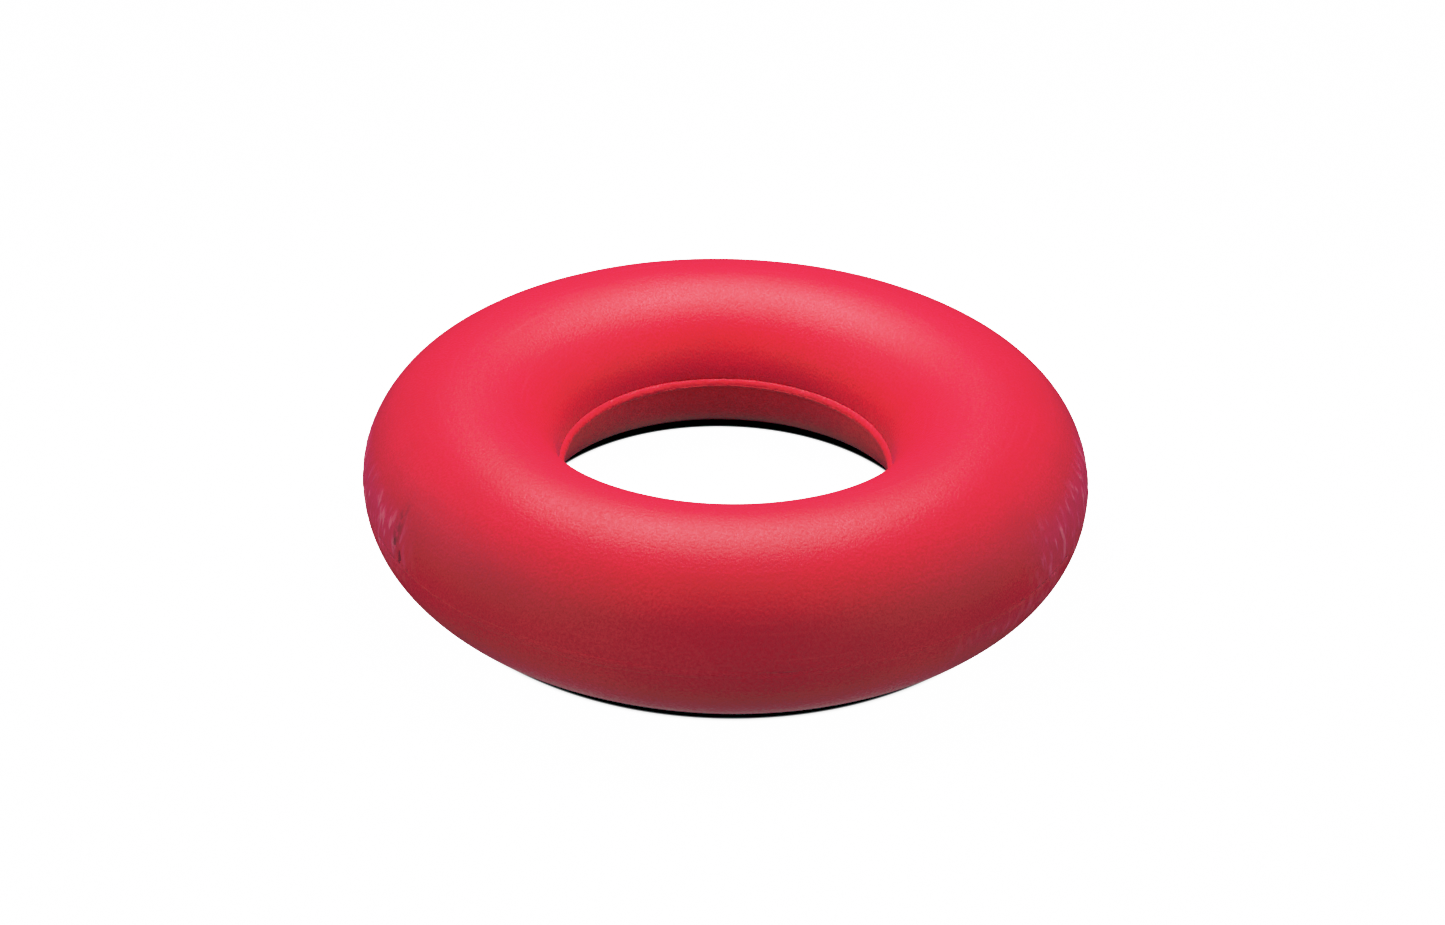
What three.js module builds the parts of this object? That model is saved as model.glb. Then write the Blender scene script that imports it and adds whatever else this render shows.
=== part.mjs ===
// A fat, soft rubber ring for throwing, catching and juggling, in millimetres, +Z up.
//
// It is a hollow ring. Two half shells are moulded in rubber, the upper and the lower, and they
// are bonded rim to rim. The upper half is the deeper one, and the lower half is a little flatter
// and fuller. The bond is a layer of cured rubber cement. It squeezes out along both rims: round
// the hole it sags into a proud bead, and on the outside it is trimmed nearly flush. The origin is
// the centre of the circle that the ring rests on.

import * as THREE from "three";

// Driving dimensions
const OUTER_DIAMETER = 170;
const HOLE_DIAMETER = 79;
const UPPER_HALF = { height: 21.5, fullness: 2 }; // a fullness of 2 makes a true oval
const LOWER_HALF = { height: 20.1, fullness: 2.15 }; // more is squarer. The land takes 0.2 off it
const REST_LAND_WIDTH = 8; // the soft wall lies flat over this width where it rests
const WALL = 4; // thickness of a half shell
const RIM_WIDTH = 6.5; // the wall thickens to this at the bonded rim
const RIM_DEPTH = 8; // and takes this height to thin down again

// The bond between the half shells
const BOND_THICKNESS = 0.6;
const BEAD_CLEARANCE = 0.05; // between a bead's shoulder and the wall behind it
const HOLE_BEAD = { proud: 1.0, height: 2.2, sag: 0.75 }; // the raised line round the hole
const CAVITY_BEAD = { proud: 0.7, height: 1.5, sag: 0 }; // squeezed out inside the ring
const TRIMMED_BEAD = { proud: 0.2, height: 1.6, sag: 0 }; // what trimming leaves round the outside

// How finely the curves are divided
const ROUND_STEPS = 72; // round the ring
const WALL_STEPS = 16; // over the outside of a half shell
const CAVITY_STEPS = 12; // over the inside of a half shell
const BEAD_STEPS = 4; // over a bead's rounded face

// Worked out from the driving dimensions
const tubeHalfWidth = (OUTER_DIAMETER - HOLE_DIAMETER) / 4;
const tubeCircleRadius = (OUTER_DIAMETER + HOLE_DIAMETER) / 4;
const landShare = REST_LAND_WIDTH / 2 / tubeHalfWidth;
const landDepthShare = (1 - landShare ** LOWER_HALF.fullness) ** (1 / LOWER_HALF.fullness);
const bondPlane = LOWER_HALF.height * landDepthShare; // the height of the joint
const halfBond = BOND_THICKNESS / 2;

const mouldedRubber = new THREE.MeshStandardMaterial({ color: 0xd92c46, roughness: 0.5, metalness: 0 });
const bondRubber = new THREE.MeshStandardMaterial({ color: 0xe03a50, roughness: 0.6, metalness: 0 });

// A closed section turned about the ring's axis. Each point is (radius, height above the rest
// plane), and the section runs anticlockwise.
function turned(name, section, material) {
  const closed = [...section, section[0]];
  const geometry = new THREE.LatheGeometry(closed, ROUND_STEPS);
  geometry.rotateX(Math.PI / 2); // the lathe's axis is Y
  const mesh = new THREE.Mesh(geometry, material);
  mesh.name = name;
  return mesh;
}

// Points on an arc of a half's oval, from one angle to the other. The angle is 0 at the outside
// of the ring, a quarter turn at the crest and a half turn at the hole.
function ovalArc(from, to, steps, halfWidthAt, halfHeight, fullness) {
  const points = [];
  for (let i = 0; i <= steps; i++) {
    const angle = from + ((to - from) * i) / steps;
    const cosine = Math.cos(angle);
    const height = halfHeight * Math.sin(angle) ** (2 / fullness);
    const offset = halfWidthAt(height) * Math.sign(cosine) * Math.abs(cosine) ** (2 / fullness);
    points.push(new THREE.Vector2(tubeCircleRadius + offset, height));
  }
  return points;
}

// The angle at which such an arc is a share of its half height above the joint.
function angleAt(heightShare, fullness) {
  return Math.asin(heightShare ** (fullness / 2));
}

// How thick the wall is at a height from the joint: wide at the rim, easing down to the shell.
function wallAt(height) {
  const t = Math.min(1, Math.abs(height) / RIM_DEPTH);
  const ease = t * t * (3 - 2 * t);
  return RIM_WIDTH + (WALL - RIM_WIDTH) * ease;
}

// Half of the tube's wall, with heights measured away from the joint. Where a rest land is asked
// for, the crest is flat over that width.
function halfShellSection({ height, fullness }, hasRestLand) {
  const rimAngle = angleAt(halfBond / height, fullness);
  const landAngle = angleAt(bondPlane / height, fullness);
  const arc = (from, to, steps) => ovalArc(from, to, steps, () => tubeHalfWidth, height, fullness);
  const outside = hasRestLand
    ? [
        ...arc(rimAngle, landAngle, WALL_STEPS / 2),
        ...arc(Math.PI - landAngle, Math.PI - rimAngle, WALL_STEPS / 2),
      ]
    : arc(rimAngle, Math.PI - rimAngle, WALL_STEPS);

  const cavityHeight = height - WALL;
  const cavityRimAngle = angleAt(halfBond / cavityHeight, fullness);
  const cavityHalfWidth = (above) => tubeHalfWidth - wallAt(above);
  const inside = ovalArc(
    Math.PI - cavityRimAngle,
    cavityRimAngle,
    CAVITY_STEPS,
    cavityHalfWidth,
    cavityHeight,
    fullness,
  );
  return [...outside, ...inside];
}

// The upper half shell stands on the joint, and the lower one hangs below it and is rested on.
function upperHalfShell() {
  const section = halfShellSection(UPPER_HALF, false);
  const placed = section.map((p) => new THREE.Vector2(p.x, bondPlane + p.y));
  return turned("upper_half_shell", placed, mouldedRubber);
}

function lowerHalfShell() {
  const section = halfShellSection(LOWER_HALF, true);
  const placed = section.map((p) => new THREE.Vector2(p.x, bondPlane - p.y));
  return turned("lower_half_shell", placed.reverse(), mouldedRubber);
}

// The rounded face of a bead, from its lower shoulder to its upper one. It starts at a wall of the
// given radius and stands proud of it towards side, +1 outwards and -1 towards the axis.
function beadFace(wallRadius, bead, side) {
  const shoulder = wallRadius + side * BEAD_CLEARANCE;
  const depth = bead.proud - BEAD_CLEARANCE;
  const points = [];
  for (let i = 0; i <= BEAD_STEPS; i++) {
    const angle = -Math.PI / 2 + (Math.PI * i) / BEAD_STEPS;
    const height = bondPlane - bead.sag + (bead.height / 2) * Math.sin(angle);
    points.push(new THREE.Vector2(shoulder + side * depth * Math.cos(angle), height));
  }
  return points;
}

// The cement between two rims: a flat web as wide as the rims, with a bead along each edge.
function bond(name, innerRadius, innerBead, outerBead) {
  const outerRadius = innerRadius + RIM_WIDTH;
  const low = bondPlane - halfBond;
  const high = bondPlane + halfBond;
  const innerShoulder = innerRadius - BEAD_CLEARANCE;
  const outerShoulder = outerRadius + BEAD_CLEARANCE;
  const section = [
    new THREE.Vector2(innerShoulder, low),
    new THREE.Vector2(outerShoulder, low),
    ...beadFace(outerRadius, outerBead, 1),
    new THREE.Vector2(outerShoulder, high),
    new THREE.Vector2(innerShoulder, high),
    ...beadFace(innerRadius, innerBead, -1).reverse(),
  ];
  return turned(name, section, bondRubber);
}

const ring = new THREE.Group();
ring.add(upperHalfShell());
ring.add(lowerHalfShell());
ring.add(bond("hole_seam_bond", HOLE_DIAMETER / 2, HOLE_BEAD, CAVITY_BEAD));
ring.add(bond("outer_seam_bond", OUTER_DIAMETER / 2 - RIM_WIDTH, CAVITY_BEAD, TRIMMED_BEAD));

export default ring;
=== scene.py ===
# A fat, soft rubber ring for throwing, catching and juggling. Two hollow half shells are
# moulded in red rubber and bonded rim to rim with rubber cement, which squeezes out along both
# joins. The camera comes first, then each piece as it is put together, then the floor and lights.

import math

import bpy
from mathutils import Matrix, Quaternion, Vector


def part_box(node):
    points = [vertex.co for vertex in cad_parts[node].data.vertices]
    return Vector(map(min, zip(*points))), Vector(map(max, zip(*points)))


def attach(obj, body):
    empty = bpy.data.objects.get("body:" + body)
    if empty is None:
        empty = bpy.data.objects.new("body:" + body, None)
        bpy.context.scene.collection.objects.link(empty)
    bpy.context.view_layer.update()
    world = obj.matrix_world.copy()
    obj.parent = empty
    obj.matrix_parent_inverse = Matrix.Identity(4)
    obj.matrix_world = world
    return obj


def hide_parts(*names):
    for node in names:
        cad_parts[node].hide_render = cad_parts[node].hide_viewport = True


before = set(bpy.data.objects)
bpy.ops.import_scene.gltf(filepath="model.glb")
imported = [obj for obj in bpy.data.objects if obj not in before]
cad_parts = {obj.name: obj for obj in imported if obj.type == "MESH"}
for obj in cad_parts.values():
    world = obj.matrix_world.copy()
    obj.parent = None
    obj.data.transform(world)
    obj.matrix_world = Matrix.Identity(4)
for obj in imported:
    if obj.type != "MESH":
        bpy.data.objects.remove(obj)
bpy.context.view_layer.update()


# The camera. It looks down on the ring as someone at a table does, and leans a little to the
# side. It aims just under the middle of the ring, which puts the ring a little high.

upper_low, upper_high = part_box("upper_half_shell")
lower_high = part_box("lower_half_shell")[1]
joint_height = (upper_low.z + lower_high.z) / 2

CAMERA_DISTANCE = 0.4257
LOOKS_DOWN = math.radians(30.4)
LEANS = math.radians(1.26)
AIMS_ASIDE = -0.0008
AIMS_LOW = 0.0014
LENS_MM = 44.5

camera = bpy.data.objects.new("camera", bpy.data.cameras.new("camera"))
bpy.context.scene.collection.objects.link(camera)
bpy.context.scene.camera = camera
camera.data.lens = LENS_MM
camera.data.clip_start = 0.01
ring_centre = Vector((0, 0, joint_height))
towards_camera = Vector((0, -math.cos(LOOKS_DOWN), math.sin(LOOKS_DOWN)))
camera.location = ring_centre + CAMERA_DISTANCE * towards_camera
aim = ring_centre + Vector((AIMS_ASIDE, 0, -AIMS_LOW))
straight = (aim - camera.location).to_track_quat("-Z", "Y")
camera.rotation_mode = "QUATERNION"
camera.rotation_quaternion = straight @ Quaternion((0, 0, 1), LEANS)


# The half shells. Each is half of a hollow ring of red rubber, moulded in one piece with a wall
# that thickens at the rims, where the other half is bonded to it. The mould leaves grain and fine
# turned lines, and trimming the bond scuffs and scars the outside. The scuffs on the ring's sides
# are tinted purple, partly as a painted sheen, and the cuts are painted darker as shade.

hole_radius = min(v.co.xy.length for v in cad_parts["upper_half_shell"].data.vertices)
tube_circle_radius = (upper_high.x + hole_radius) / 2
tube_half_width = (upper_high.x - hole_radius) / 2
upper_height = upper_high.z - joint_height
half_bond = (upper_low.z - lower_high.z) / 2

WALL = 0.004
RIM_WIDTH = 0.0065
RIM_DEPTH = 0.008
UPPER_FULLNESS = 2.0  # 2 makes a true oval, and more is squarer
LOWER_FULLNESS = 2.15
LAND_CUT = 0.0002  # what the flat that the ring rests on takes off the lower half
LAND_EDGE = 0.0005  # over which the tube turns into that flat
WAVE = 0.00012  # how far the soft wall wanders from a true ring
WAVE_LENGTH = 0.034
CROWDING = 0.45  # how much closer together the steps are at the rims than at the crown

SCUFFS = (  # azimuth from +X and half arc, in degrees, and lowest and highest place over the joint
    (340, 22, -0.001, 0.011),
    (318, 16, -0.006, -0.002),
    (197, 24, -0.003, 0.009),
)
SCUFF_FADE = 0.0035
SCARS = {"around": 0.0022, "across": 0.0045}  # how big the scars of trimming are
SCAR_DEPTH = 0.00022
TICKS = {"around": 0.0016, "across": 0.0042, "detail": 1.5}
TICKS_SHOW = (0.47, 0.68)  # over which span of their noise the ticks come in
TICK_RISE = 0.00011
NICKS = (  # azimuth, height, half width and half height of the cuts over the join
    (213.0, 0.0041, 0.0009, 0.0011),
    (214.9, 0.0019, 0.0007, 0.0021),
)
NICK_DEPTH = 0.0006
SMEAR = (213.4, 0.0075, 0.0022, 0.0070)  # the dark smear over the cuts, given in the same way
SAME_SIDE = 20  # how far round the ring a cut or a smear can show, in degrees

SHELL_PIGMENT = (0.71, 0.010, 0.036)
CLOUD_SHADE = 0.82  # how much of the pigment's light the darker clouds give back
GRAIN_RED = (0.62, 0.004, 0.020)
LINE_RED = (0.80, 0.030, 0.060)
# the purple of the worn scuffs, which also serves as a painted sheen where the ring's sides turn
# away
SCUFF_AND_SHEEN_RED = (0.64, 0.022, 0.120)
TICK_PINK = (0.82, 0.170, 0.230)
# the dark red of the smear, also used as painted shade inside the cuts
SMEAR_AND_CUT_SHADE_RED = (0.20, 0.010, 0.022)
CLOUD_SIZE = 0.022
GRAIN_SIZE = 0.0006
LINES = {"around": 0.030, "across": 0.0007, "detail": 3.0}
SMEAR_GRAIN = 0.0016
CLOUDS_SHOW = (0.35, 0.70)  # over which span of its noise each kind of mark comes in
GRAIN_SHOWS = (0.35, 0.65)
LINES_SHOW = (0.55, 0.80)
SMEAR_SHOWS = (0.35, 0.60)
# the span of the cuts' depth over which their painted shade comes in
CUT_SHADE_SHOWS = (0.05, 0.60)
LINE_SHARE = 0.3  # how far each kind of mark turns the rubber its own colour
SCUFF_AND_SHEEN_SHARE = 0.5
TICK_SHARE = 0.65
SMEAR_SHARE = 0.6
# how far the painted shade darkens the cuts
NICK_SHADE_SHARE = 0.8
ROUGHNESS = {"even": 0.44, "clouds": 0.12, "lines": 0.10, "grain": 0.35, "scuffs": 0.12}
MILLIMETRE = 0.001
MOULDED_FACE = {  # how high the fine surface stands, in millimetres, and how big its lumps are
    "grain": 0.090,
    "lines": 0.012,
    "lumps": 0.020,
    "lump size": 0.0018,  # in metres
    "lump detail": 1.0,
}
TICK_MM = 0.09
SURFACE = {
    "Specular IOR Level": 0.24,
    "Sheen Weight": 0.05,
    "Sheen Roughness": 0.4,
    "Sheen Tint": (0.45, 0.15, 1.0, 1),
}


def add(tree, kind, wires=None, **choices):
    """Adds a node with these choices. wires gives its inputs, each a number or what feeds it."""
    node = tree.nodes.new(kind)
    for name, choice in choices.items():
        setattr(node, name, choice)
    for name, value in (wires or {}).items():
        if isinstance(value, Amount):
            value = value.socket
        if isinstance(value, bpy.types.NodeSocket):
            tree.links.new(value, node.inputs[name])
        else:
            node.inputs[name].default_value = value
    return node


class Amount:
    """A number that a node tree works out. Arithmetic on it adds Math nodes to that tree."""

    def __init__(self, socket):
        self.socket = socket
        self.tree = socket.id_data

    def math(self, operation, *others):
        wires = dict(enumerate((self, *others)))
        return Amount(add(self.tree, "ShaderNodeMath", wires, operation=operation).outputs[0])

    def __add__(self, other):
        return self.math("ADD", other)

    def __sub__(self, other):
        return self.math("SUBTRACT", other)

    def __mul__(self, other):
        return self.math("MULTIPLY", other)

    def __truediv__(self, other):
        return self.math("DIVIDE", other)

    def rise(self, low, high):
        """0 below low and 1 above high, with a smooth rise between. high may be the lower one."""
        wires = {"Value": self, "From Min": low, "From Max": high}
        ramp = add(self.tree, "ShaderNodeMapRange", wires, interpolation_type="SMOOTHSTEP")
        return Amount(ramp.outputs[0])

    def mix(self, without, by):
        """without where this is 0, and by where it is 1."""
        return self * (by - without) + without

    def __rsub__(self, other):
        return self * -1 + other

    def __rtruediv__(self, other):
        return self.math("POWER", -1.0) * other


def most(amounts):
    """The largest of some amounts."""
    largest, *others = amounts
    for amount in others:
        largest = largest.math("MAXIMUM", amount)
    return largest


class Place:
    """Where a point is on the ring, for any tree: how far from the axis, which way from it, as
    east and north, and how high above the joint."""

    def __init__(self, point):
        parts = add(point.id_data, "ShaderNodeSeparateXYZ", {0: point}).outputs
        x, y, z = (Amount(part) for part in parts)
        self.point = point
        self.tree = point.id_data
        self.radius = (x * x + y * y).math("SQRT")
        self.east = x / self.radius
        self.north = y / self.radius
        self.height = z - joint_height

    def noise(self, size, detail=2.0):
        """Plain noise with lumps of this size."""
        wires = {"Vector": self.point, "Scale": 1 / size, "Detail": detail}
        return Amount(add(self.tree, "ShaderNodeTexNoise", wires).outputs[0])

    def grained(self, around, across, detail=2.0):
        """Noise with lumps of one size round the ring and another across it."""
        turns = upper_high.x / around
        parts = {"X": self.east * turns, "Y": self.north * turns, "Z": self.height / across}
        vector = add(self.tree, "ShaderNodeCombineXYZ", parts).outputs[0]
        wires = {"Vector": vector, "W": self.radius / across, "Scale": 1.0, "Detail": detail}
        noise = add(self.tree, "ShaderNodeTexNoise", wires, noise_dimensions="4D")
        return Amount(noise.outputs[0])

    def within(self, azimuth, half_arc):
        """1 at this azimuth, fading to 0 at half_arc to either side, in degrees."""
        turn = math.radians(azimuth)
        facing = self.east * math.cos(turn) + self.north * math.sin(turn)
        edge = math.cos(math.radians(half_arc))
        core = math.cos(math.radians(half_arc / 2))
        return facing.rise(edge, core)

    def spot(self, azimuth, height, half_width, half_height):
        """1 at one place on the outside, fading to 0 at the edge of an oval round it."""
        turn = math.radians(azimuth)
        aside = (self.north * math.cos(turn) - self.east * math.sin(turn)) * self.radius
        aside = aside / half_width
        above = (self.height - height) / half_height
        oval = (aside * aside + above * above).rise(1.0, 0.0)
        return oval * self.within(azimuth, SAME_SIDE)

    def scuffed(self):
        """How much trimming and wear have scuffed the outside here, from 0 to 1."""
        patches = [
            self.within(azimuth, half_arc)
            * self.height.rise(low - SCUFF_FADE, low + SCUFF_FADE)
            * self.height.rise(high + SCUFF_FADE, high - SCUFF_FADE)
            for azimuth, half_arc, low, high in SCUFFS
        ]
        outside = self.radius.rise(tube_circle_radius, tube_circle_radius + tube_half_width / 2)
        return most(patches) * outside

    def ticks(self):
        """Short pale marks across the scuffed places, left by the trimming wheel."""
        return self.grained(**TICKS).rise(*TICKS_SHOW) * self.scuffed()

    def cuts(self):
        """How deep this is in the cuts over the join, from 0 to 1."""
        return most([self.spot(*nick) for nick in NICKS])


def new_tree(name, inputs):
    """A Geometry Nodes tree with these named inputs, each a number, and a material. Returns the
    tree, its inputs by name, and its output node."""
    tree = bpy.data.node_groups.new(name, "GeometryNodeTree")
    for label, kind in {**inputs, "Material": "NodeSocketMaterial"}.items():
        tree.interface.new_socket(label, in_out="INPUT", socket_type=kind)
    tree.interface.new_socket("Geometry", in_out="OUTPUT", socket_type="NodeSocketGeometry")
    given = add(tree, "NodeGroupInput").outputs
    return tree, given, add(tree, "NodeGroupOutput")


def sweep(tree, given, out, steps, x, y, finish):
    """Turns a section of this many steps round the ring's axis. x is how far out a step lies from
    the middle of the tube, and y how high above the joint. finish moves the turned surface."""
    section = add(tree, "GeometryNodeCurvePrimitiveCircle", {"Resolution": steps}).outputs[0]
    across = add(tree, "ShaderNodeCombineXYZ", {"X": x, "Y": y * -1}).outputs[0]
    section = {"Geometry": section, "Position": across}
    section = add(tree, "GeometryNodeSetPosition", section).outputs[0]
    circle = {"Resolution": given["Steps Around"], "Radius": given["Tube Circle Radius"]}
    circle = add(tree, "GeometryNodeCurvePrimitiveCircle", circle).outputs[0]
    turned = {"Curve": circle, "Profile Curve": section}
    turned = add(tree, "GeometryNodeCurveToMesh", turned).outputs[0]
    raised = {"Geometry": turned, "Translation": (0, 0, joint_height)}
    surface = finish(add(tree, "GeometryNodeTransform", raised).outputs[0])
    surface = add(tree, "GeometryNodeSetShadeSmooth", {"Geometry": surface}).outputs[0]
    surface = add(tree, "GeometryNodeRealizeInstances", {"Geometry": surface}).outputs[0]
    painted = {"Geometry": surface, "Material": given["Material"]}
    painted = add(tree, "GeometryNodeSetMaterial", painted).outputs[0]
    tree.links.new(painted, out.inputs[0])


def swell(tree, surface, amount):
    """Moves a surface out along its own normals."""
    normal = add(tree, "GeometryNodeInputNormal").outputs[0]
    offset = {0: normal, "Scale": amount}
    offset = add(tree, "ShaderNodeVectorMath", offset, operation="SCALE").outputs[0]
    moved = {"Geometry": surface, "Offset": offset}
    return add(tree, "GeometryNodeSetPosition", moved).outputs[0]


def half_shell_tree():
    """The section is numbered from one rim over the crown to the other, and back under the wall
    inside. Side is 1 for the upper half, and -1 for the lower, which turns the section over."""
    measures = ("Tube Circle Radius", "Half Width", "Height", "Fullness", "Wall", "Rim Width")
    measures += ("Rim Depth", "Half Bond", "Side", "Land Edge", "Wave")
    counts = ("Steps Around", "Outside Steps", "Cavity Steps")
    inputs = dict.fromkeys(measures, "NodeSocketFloat") | dict.fromkeys(counts, "NodeSocketInt")
    tree, given, out = new_tree("half shell", inputs)
    size = {name: Amount(given[name]) for name in inputs}

    squareness = 2 / size["Fullness"]

    def oval(share, height):
        """How high and how far across an oval this half's shape is, at a share of the way over."""
        rim_angle = (size["Half Bond"] / height).math("POWER", size["Fullness"] / 2)
        rim_angle = rim_angle.math("ARCSINE")
        angle = rim_angle + share * (rim_angle * -2 + math.pi)
        cosine = angle.math("COSINE")
        across = cosine.math("ABSOLUTE").math("POWER", squareness) * cosine.math("SIGN")
        return angle.math("SINE").math("POWER", squareness) * height, across

    step = Amount(add(tree, "GeometryNodeInputIndex").outputs[0])
    share = (step / size["Outside Steps"]).math("MINIMUM", 1.0)
    crowded = share - (share * math.tau).math("SINE") * (CROWDING / math.tau)
    outside_y, across = oval(crowded, size["Height"])
    outside_x = across * size["Half Width"] * -1

    back = ((step - size["Outside Steps"] - 1) / size["Cavity Steps"]).math("MAXIMUM", 0.0)
    cavity_y, across = oval(back, size["Height"] - size["Wall"])
    thinned = cavity_y.rise(size["Half Bond"], size["Rim Depth"])
    wall = thinned.mix(size["Rim Width"], size["Wall"])
    cavity_x = across * (size["Half Width"] - wall)

    inside = (step - size["Outside Steps"]).math("GREATER_THAN", 0.5)
    x = inside.mix(outside_x, cavity_x) * size["Side"]
    y = inside.mix(outside_y, cavity_y) * size["Side"]

    def finish(surface):
        place = Place(add(tree, "GeometryNodeInputPosition").outputs[0])
        wave = (place.noise(WAVE_LENGTH, detail=1.0) - 0.5) * 2 * size["Wave"]
        scars = (place.grained(**SCARS) - 0.5) * 2 * place.scuffed() * SCAR_DEPTH
        trimmed = scars + place.ticks() * TICK_RISE - place.cuts() * NICK_DEPTH
        moved = swell(tree, surface, wave + trimmed)
        point = add(tree, "GeometryNodeInputPosition").outputs[0]
        x, y, z = add(tree, "ShaderNodeSeparateXYZ", {0: point}).outputs
        rested = {"X": x, "Y": y, "Z": Amount(z).math("SMOOTH_MAX", 0.0, size["Land Edge"])}
        rested = add(tree, "ShaderNodeCombineXYZ", rested).outputs[0]
        rested = {"Geometry": moved, "Position": rested}
        return add(tree, "GeometryNodeSetPosition", rested).outputs[0]

    steps = size["Outside Steps"] + size["Cavity Steps"] + 2
    sweep(tree, given, out, steps, x, y, finish)
    return tree


def made(name, tree, material, sizes):
    """A plain mesh of what the tree makes with these sizes."""
    piece = bpy.data.objects.new(name, bpy.data.meshes.new(name))
    bpy.context.scene.collection.objects.link(piece)
    modifier = piece.modifiers.new("shape", "NODES")
    modifier.node_group = tree
    given = {**sizes, "Material": material}
    for socket in tree.interface.items_tree:
        if socket.in_out == "INPUT":
            modifier[socket.identifier] = given[socket.name]
    shaped = piece.evaluated_get(bpy.context.evaluated_depsgraph_get())
    piece.data = bpy.data.meshes.new_from_object(shaped)
    piece.modifiers.clear()
    return piece


def blend(share, first, second):
    """first where share is 0 and second where it is 1. Each is a colour, or what gives one."""
    first, second = ((*c, 1) if isinstance(c, tuple) else c for c in (first, second))
    wires = {0: share, 6: first, 7: second}
    return add(share.tree, "ShaderNodeMix", wires, data_type="RGBA").outputs[2]


def rubber(name, pigment, face):
    """Red rubber of this pigment. face says how high its fine surface stands."""
    material = bpy.data.materials.new(name)
    material.use_nodes = True
    tree = material.node_tree
    shader = tree.nodes["Principled BSDF"]
    place = Place(add(tree, "ShaderNodeTexCoord").outputs["Object"])

    cloud = place.noise(CLOUD_SIZE, detail=3.0)
    grain = place.noise(GRAIN_SIZE)
    lines = place.grained(**LINES)
    scuffed = place.scuffed()
    ticks = place.ticks()
    smear = place.spot(*SMEAR) * place.noise(SMEAR_GRAIN).rise(*SMEAR_SHOWS)
    # the dark smear, and painted shade that darkens each cut by its depth
    smear_and_cut_shade = most([smear * SMEAR_SHARE, place.cuts().rise(*CUT_SHADE_SHOWS) * NICK_SHADE_SHARE])

    deep = tuple(part * CLOUD_SHADE for part in pigment)
    colour = blend(cloud.rise(*CLOUDS_SHOW), pigment, deep)
    colour = blend(grain.rise(*GRAIN_SHOWS), colour, GRAIN_RED)
    colour = blend(lines.rise(*LINES_SHOW) * LINE_SHARE, colour, LINE_RED)
    # the scuffs, tinted purple: partly worn rubber, partly a painted sheen on the ring's sides
    colour = blend(scuffed * SCUFF_AND_SHEEN_SHARE, colour, SCUFF_AND_SHEEN_RED)
    colour = blend(ticks * TICK_SHARE, colour, TICK_PINK)
    colour = blend(smear_and_cut_shade, colour, SMEAR_AND_CUT_SHADE_RED)
    tree.links.new(colour, shader.inputs["Base Color"])

    rough = (cloud - 0.5) * ROUGHNESS["clouds"] + (lines - 0.5) * ROUGHNESS["lines"]
    rough = rough + (grain - 0.5) * ROUGHNESS["grain"]
    rough = rough + scuffed * ROUGHNESS["scuffs"] + ROUGHNESS["even"]
    tree.links.new(rough.socket, shader.inputs["Roughness"])

    lumps = place.noise(face["lump size"], face["lump detail"]) * face["lumps"]
    heights = grain * face["grain"] + lines * face["lines"] + lumps + ticks * TICK_MM
    bump = add(tree, "ShaderNodeBump", {"Height": heights, "Distance": MILLIMETRE})
    tree.links.new(bump.outputs[0], shader.inputs["Normal"])
    for label, value in SURFACE.items():
        shader.inputs[label].default_value = value
    return material


moulded_rubber = rubber("moulded rubber", SHELL_PIGMENT, MOULDED_FACE)
shell_shape = half_shell_tree()
SHELL_SIZES = {
    "Tube Circle Radius": tube_circle_radius,
    "Half Width": tube_half_width,
    "Wall": WALL,
    "Rim Width": RIM_WIDTH,
    "Rim Depth": RIM_DEPTH,
    "Half Bond": half_bond,
    "Land Edge": LAND_EDGE,
    "Wave": WAVE,
    "Steps Around": 960,
    "Outside Steps": 84,
    "Cavity Steps": 12,
}
upper_half = made("upper_half", shell_shape, moulded_rubber, {
    **SHELL_SIZES, "Side": 1, "Height": upper_height, "Fullness": UPPER_FULLNESS})
lower_half = made("lower_half", shell_shape, moulded_rubber, {
    **SHELL_SIZES, "Side": -1, "Height": joint_height + LAND_CUT, "Fullness": LOWER_FULLNESS})
for half, node in ((upper_half, "upper_half_shell"), (lower_half, "lower_half_shell")):
    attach(half, "root")
    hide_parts(node)


# The bonds. Rubber cement joins the rims of the two halves, round the hole and round the
# outside. Pressed together, the halves squeeze it out in beads: the one round the hole is left
# and sags into a lip, and the outer one is trimmed back until it hardly shows in front.

HOLE_BEAD = {
    "Face Proud": 0.0010,
    "Face Height": 0.0022,
    "Face Drop": 0.00075,
    "Nose Sag": 0.0004,  # how much lower the nose of the bead hangs than its edges
}
OUTER_BEAD = {"Face Proud": 0.00008, "Face Height": 0.0020, "Face Drop": 0.0, "Nose Sag": 0.0}
CAVITY_BEAD = {"Cavity Proud": 0.0007, "Cavity Height": 0.0015}
TUCK = 0.00004  # how far a bead's edges reach into the wall that it sticks to
PROUD_STARTS = (-0.00003, 0.00006)  # over which a bead's face comes clear of the wall
LUMPS = ((0.012, 1.0, 0.00022), (0.0022, 2.0, 0.00032))  # size, detail and height in the hole
FLASH = {"around": 0.0016, "across": 0.0022}  # how big the torn scraps of the trimmed bead are
FLASH_SHOWS = (0.35, 0.75)
FLASH_PROUD = 0.0010
CEMENT_PIGMENT = (0.73, 0.012, 0.040)
SQUEEZED_FACE = {  # in the same terms as the moulded face
    "grain": 0.020,
    "lines": 0.0,
    "lumps": 0.120,
    "lump size": 0.0008,
    "lump detail": 3.0,
}


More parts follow.
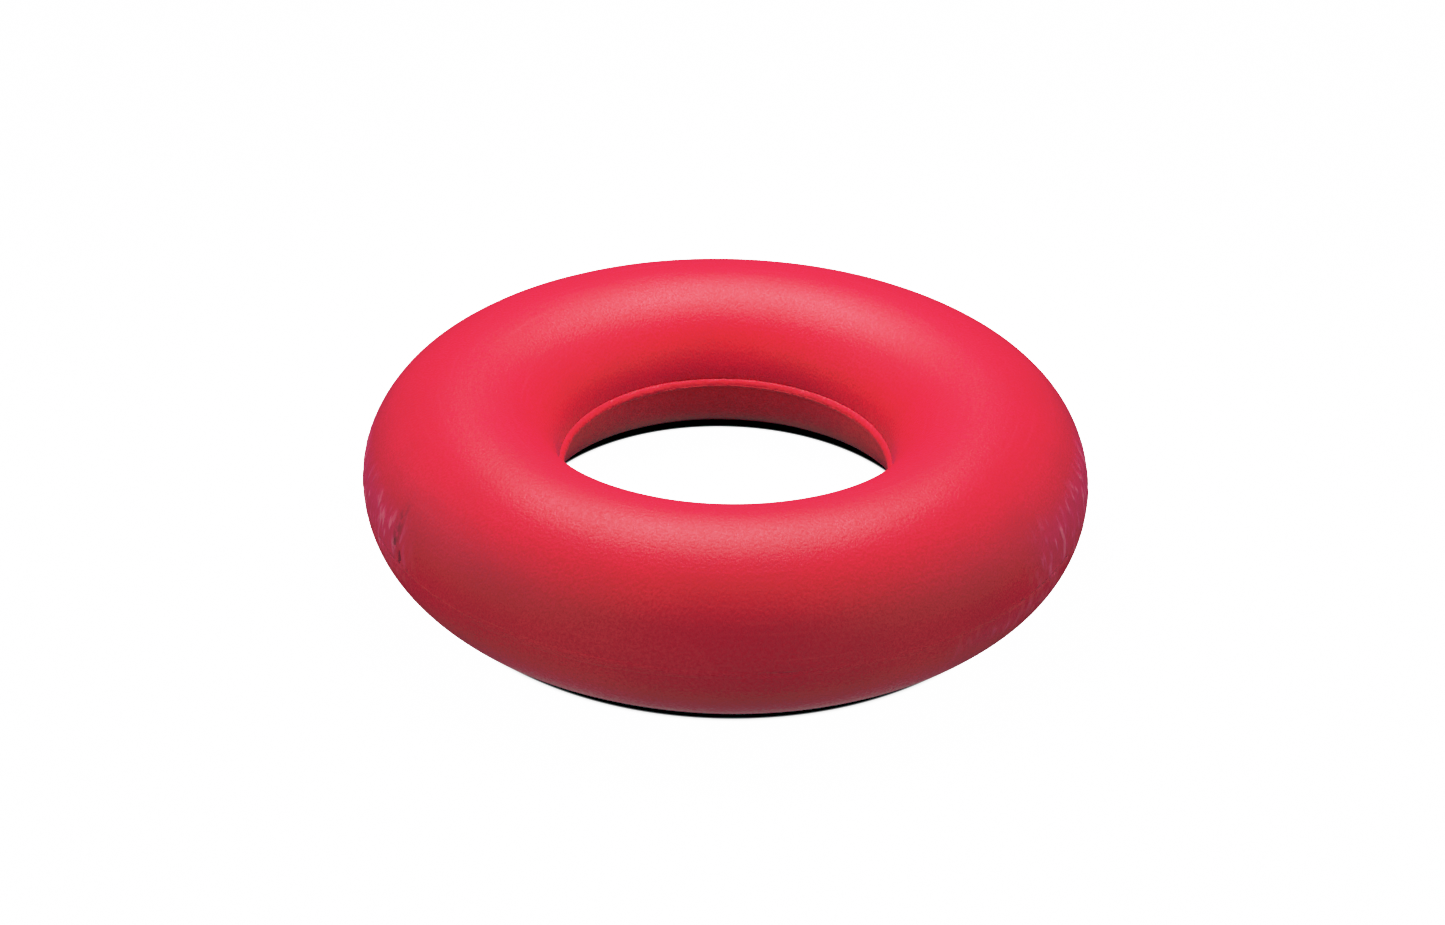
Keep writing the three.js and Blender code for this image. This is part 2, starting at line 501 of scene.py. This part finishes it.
def bond_tree():
    """The section runs from a bead's nose over its top, through between the rims and over the bead
    inside, then back the same way underneath. Side is -1 for a bead that faces the hole, and 1 for
    the outer one."""
    measures = ("Tube Circle Radius", "Face Radius", "Rim Width", "Side", "Tuck", "Flash")
    measures += (*HOLE_BEAD, *CAVITY_BEAD)
    counts = ("Steps Around", "Face Steps", "Cavity Steps")
    inputs = dict.fromkeys(measures, "NodeSocketFloat") | dict.fromkeys(counts, "NodeSocketInt")
    tree, given, out = new_tree("bond", inputs)
    size = {name: Amount(given[name]) for name in inputs}

    step = Amount(add(tree, "GeometryNodeInputIndex").outputs[0])
    one_way = size["Face Steps"] + size["Cavity Steps"] + 1
    under = (step - one_way).math("GREATER_THAN", 0.5)
    step = under.mix(step, one_way * 2 + 1 - step)
    inner = (step - size["Face Steps"]).math("GREATER_THAN", 0.5)

    face_angle = step / size["Face Steps"] * (math.pi / 2)
    face_depth = size["Tuck"] - (size["Face Proud"] + size["Tuck"]) * face_angle.math("COSINE")
    face_height = size["Face Height"] / 2 * face_angle.math("SINE")
    drop = size["Face Drop"] + size["Nose Sag"] * face_angle.math("COSINE")

    cavity_angle = (one_way - step) / size["Cavity Steps"] * (math.pi / 2)
    cavity_proud = (size["Cavity Proud"] + size["Tuck"]) * cavity_angle.math("COSINE")
    cavity_depth = size["Rim Width"] - size["Tuck"] + cavity_proud
    cavity_height = size["Cavity Height"] / 2 * cavity_angle.math("SINE")

    depth = inner.mix(face_depth, cavity_depth)
    height = inner.mix(face_height, cavity_height) * under.mix(1.0, -1.0)
    x = size["Face Radius"] - size["Tube Circle Radius"] - depth * size["Side"]
    y = height * size["Side"] - inner.mix(drop, 0.0)

    def finish(surface):
        place = Place(add(tree, "GeometryNodeInputPosition").outputs[0])
        wave = (place.noise(WAVE_LENGTH, detail=1.0) - 0.5) * 2 * WAVE
        broad, fine = ((place.noise(lump, detail) - 0.5) * high for lump, detail, high in LUMPS)
        torn = place.grained(**FLASH).rise(*FLASH_SHOWS) * place.scuffed() * FLASH_PROUD
        proud = ((place.radius - size["Face Radius"]) * size["Side"]).rise(*PROUD_STARTS)
        moved = wave + proud * size["Flash"].mix(broad + fine, torn)
        return swell(tree, surface, moved)

    sweep(tree, given, out, (one_way + 1) * 2, x, y, finish)
    return tree


bond_rubber = rubber("bond rubber", CEMENT_PIGMENT, SQUEEZED_FACE)
bond_shape = bond_tree()
BOND_SIZES = {
    "Tube Circle Radius": tube_circle_radius,
    "Rim Width": RIM_WIDTH,
    "Tuck": TUCK,
    "Steps Around": 1440,
    "Face Steps": 18,
    "Cavity Steps": 6,
    **CAVITY_BEAD,
}
hole_bead = made("hole_seam", bond_shape, bond_rubber, {
    **BOND_SIZES, **HOLE_BEAD, "Face Radius": hole_radius, "Side": -1, "Flash": 0.0})
outer_bead = made("outer_seam", bond_shape, bond_rubber, {
    **BOND_SIZES, **OUTER_BEAD, "Face Radius": upper_high.x, "Side": 1, "Flash": 1.0})
for bead, node in ((hole_bead, "hole_seam_bond"), (outer_bead, "outer_seam_bond")):
    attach(bead, "root")
    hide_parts(node)


# The floor, a plain pale table that runs far out past the view. It glows to the eye, so that it
# stays near white without throwing much light up on the ring. Close round the ring it carries a
# painted shadow, set only by how far it lies from the middle of the tube.

FLOOR_HALF = 3.0
FLOOR_DROP = 0.0001  # keeps the floor clear of the flat that the ring rests on
FLOOR_TONE = 0.20
FLOOR_ROUGHNESS = 0.9
FLOOR_GLOW = 3.7
# The dark under the ring is a painted shadow, laid on by distance from the tube's middle.
SHADE_INSIDE = (0.0114, 0.0130)  # where the dark under the ring ends, out from the tube's middle
SHADE_OUTSIDE = (0.0110, 0.0125)
NEAR_SHINE = 0.6  # how bright the floor beside the ring is in the rubber's shine
FRONT_SHINE = 1.0  # and further out in front
SHINE_SPREAD = (0.10, 0.15)  # how far from the axis the one turns into the other
BACK_SHINE_ENDS = (0.08, -0.02)  # how far back the shine fades out
SIDE_SHINE_ENDS = (0.95, 0.35)  # and how far round to the sides

floor_mesh = bpy.data.meshes.new("floor")
signs = ((-1, -1), (1, -1), (1, 1), (-1, 1))
corners = [(x * FLOOR_HALF, y * FLOOR_HALF, -FLOOR_DROP) for x, y in signs]
floor_mesh.from_pydata(corners, [], [(0, 1, 2, 3)])
floor = bpy.data.objects.new("floor", floor_mesh)
bpy.context.scene.collection.objects.link(floor)
paint = bpy.data.materials.new("floor paint")
paint.use_nodes = True
coat = paint.node_tree.nodes["Principled BSDF"].inputs
coat["Roughness"].default_value = FLOOR_ROUGHNESS
coat["Specular IOR Level"].default_value = 0.0
coat["Emission Color"].default_value = (1, 1, 1, 1)

ray = add(paint.node_tree, "ShaderNodeLightPath").outputs
seen_by_eye = Amount(ray["Is Camera Ray"])
seen_in_shine = Amount(ray["Is Glossy Ray"])
place = Place(add(paint.node_tree, "ShaderNodeTexCoord").outputs["Object"])
inward = tube_circle_radius - place.radius
# A painted shadow: the floor's colour and glow fade out close round the tube's middle.
outside_painted_shadow = inward.rise(*SHADE_INSIDE) + (inward * -1).rise(*SHADE_OUTSIDE)
shine = place.radius.rise(*SHINE_SPREAD).mix(NEAR_SHINE, FRONT_SHINE)
shine = shine * (place.north * place.radius).rise(*BACK_SHINE_ENDS)
shine = shine * place.east.math("ABSOLUTE").rise(*SIDE_SHINE_ENDS)
tone = seen_in_shine.mix(FLOOR_TONE, 0.0) * outside_painted_shadow
glow = (seen_by_eye * FLOOR_GLOW + seen_in_shine * shine) * outside_painted_shadow
paint.node_tree.links.new(tone.socket, coat["Base Color"])
paint.node_tree.links.new(glow.socket, coat["Emission Strength"])
floor.data.materials.append(paint)


# The light. A soft box hangs over the ring and lights it without a shine of its own, and a wider
# glow card a little further back gives only the shine. The room is pale, lighter to the sides and
# most so on the left, and its far end is nearly too dim to shine.

SOFTBOX = {"place": (0, 0.034, 0.245), "size": (0.17, 0.05), "watts": 0.66}
GLOW_CARD = {"place": (-0.010, 0.080, 0.245), "size": (0.20, 0.16), "watts": 0.95}
ROOM_LIGHT = 0.25
ROOM_LIGHT_BUILDS = (-0.9, 0.3)  # from the dim near end of the room to the far end
SIDE_LIGHT = 1.85  # how much more light comes from the sides
LEFT_LIGHT = 0.3  # and how much more of that from the left
ROOM_GLOSS = 0.5  # how bright the near end is in the rubber's shine
FAR_GLOSS = 0.1
GLOSS_FADES = (-0.2, 0.5)

for name, light in (("softbox", SOFTBOX), ("glow card", GLOW_CARD)):
    lamp = bpy.data.objects.new(name, bpy.data.lights.new(name, "AREA"))
    bpy.context.scene.collection.objects.link(lamp)
    lamp.location = light["place"]
    lamp.data.shape = "RECTANGLE"
    lamp.data.size, lamp.data.size_y = light["size"]
    lamp.data.energy = light["watts"]
    lamp.visible_glossy = name == "glow card"
    lamp.visible_diffuse = name == "softbox"

world = bpy.data.worlds.new("room")
bpy.context.scene.world = world
world.use_nodes = True
ray = add(world.node_tree, "ShaderNodeLightPath").outputs
towards = add(world.node_tree, "ShaderNodeTexCoord").outputs["Generated"]
towards = add(world.node_tree, "ShaderNodeSeparateXYZ", {0: towards}).outputs
aside = Amount(towards["X"])
back = Amount(towards["Y"])
lit = back.rise(*ROOM_LIGHT_BUILDS) * ROOM_LIGHT
lit = aside * aside * (aside * -LEFT_LIGHT + SIDE_LIGHT) + lit
shine = back.rise(*GLOSS_FADES).mix(ROOM_GLOSS, FAR_GLOSS)
lit = Amount(ray["Is Glossy Ray"]).mix(lit, shine)
lit = Amount(ray["Is Camera Ray"]).mix(lit, 1.0)
room = world.node_tree.nodes["Background"].inputs
world.node_tree.links.new(lit.socket, room["Strength"])
room["Color"].default_value = (1, 1, 1, 1)


# The print. The film holds back the brightest tones in a soft shoulder, and a faint veil lifts
# the darkest greens and blues, so that deep red prints a little greyer than it is.

FILM_WHITE = 4.0  # the light that prints as pure white
FILM_SHOULDER = ((0.62, 0.62), (0.80, 0.76), (1.05, 0.835), (1.6, 0.90), (2.4, 0.95))
GREEN_VEIL = ((0.0156, 0.0265), (0.031, 0.0295), (0.047, 0.040), (0.07, 0.07))
BLUE_VEIL = ((0.0156, 0.0255), (0.031, 0.0355), (0.05, 0.05))
GREEN, BLUE, ALL_LAYERS = 1, 2, 3  # which of the film's curves is which

view = bpy.context.scene.view_settings
view.view_transform = "Standard"
view.use_curve_mapping = True
view.curve_mapping.white_level = (FILM_WHITE, FILM_WHITE, FILM_WHITE)
film = view.curve_mapping.curves
for light, tone in FILM_SHOULDER:
    film[ALL_LAYERS].points.new(light / FILM_WHITE, tone)
for layer, veil in ((GREEN, GREEN_VEIL), (BLUE, BLUE_VEIL)):
    for light, tone in veil:
        film[layer].points.new(light / FILM_WHITE, tone / FILM_WHITE)
    for point in film[layer].points:
        point.handle_type = "VECTOR"
view.curve_mapping.update()
